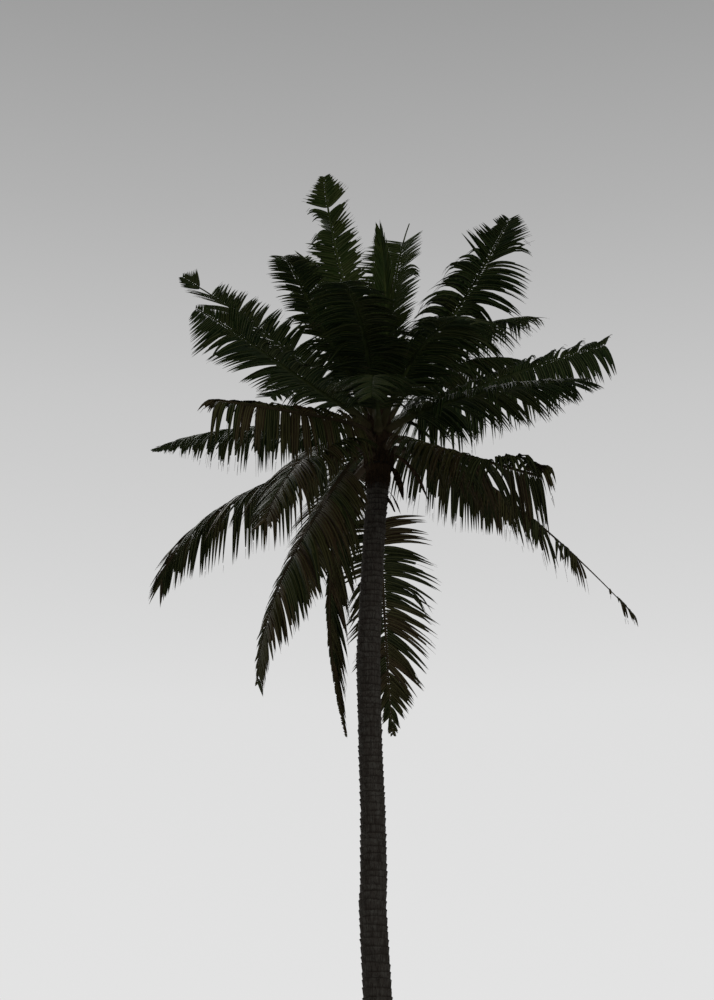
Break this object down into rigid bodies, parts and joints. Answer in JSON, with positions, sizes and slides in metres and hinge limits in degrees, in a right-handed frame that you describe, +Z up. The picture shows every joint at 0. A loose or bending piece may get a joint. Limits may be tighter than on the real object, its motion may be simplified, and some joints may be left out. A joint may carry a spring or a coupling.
{
  "type": "coconut palm tree",
  "caption": "Tall coconut palm with a slim leaning ringed trunk and a round crown of arching, drooping and hanging feather fronds.",
  "frame": {"origin": "the middle of the trunk's flat cut at ground level", "axes": "+Z up along the trunk, -Y towards the viewer of the picture, +X to the viewer's right"},
  "size_m": [7.3502, 8.4099, 16.2716],
  "materials": {
    "bark": "rough grey-brown bark with ring scars and fine cracks",
    "young_frond": "satin fresh green leaflets on a yellow-green rib",
    "green_frond": "satin deep green leaflets on a green rib",
    "old_frond": "dull olive and straw leaflets on a brown rib",
    "fibre": "dry brown fibre"
  },
  "bodies": {
    "root": {"trunk": "bark", "fibre_skirt": "fibre", "fibre_strip_long": "fibre", "fibre_strip_short": "fibre", "flower_sheath": "fibre", "frond_stub": "fibre", "frond_spear": "young_frond", "frond_young_right": "young_frond", "frond_crest": "young_frond", "frond_back_steep": "young_frond", "frond_left_steep": "young_frond", "frond_upper_right": "green_frond", "frond_upper_left_near_half": "green_frond", "frond_upper_left_far_half": "green_frond", "frond_right_back": "green_frond", "frond_left_lifted": "green_frond", "frond_front_left_near_half": "green_frond", "frond_front_left_far_half": "green_frond", "frond_back_left": "green_frond", "frond_right_level": "green_frond", "frond_front_right_near_half": "green_frond", "frond_front_right_far_half": "green_frond", "frond_right_mid": "green_frond", "frond_back_right": "green_frond", "frond_left_front": "green_frond", "frond_left_level": "green_frond", "frond_right_front": "green_frond", "frond_front_low": "green_frond", "frond_back_mid": "green_frond", "frond_left_snapped": "old_frond", "frond_right_frayed": "old_frond", "frond_left_arching_near_half": "old_frond", "frond_left_arching_far_half": "old_frond", "frond_right_low": "old_frond", "frond_right_snapped": "old_frond", "frond_back_low": "old_frond", "frond_left_low_near_half": "old_frond", "frond_left_low_far_half": "old_frond", "frond_left_hanging": "old_frond", "frond_back_hanging": "old_frond", "frond_right_hanging": "old_frond"}
  },
  "joints": []
}
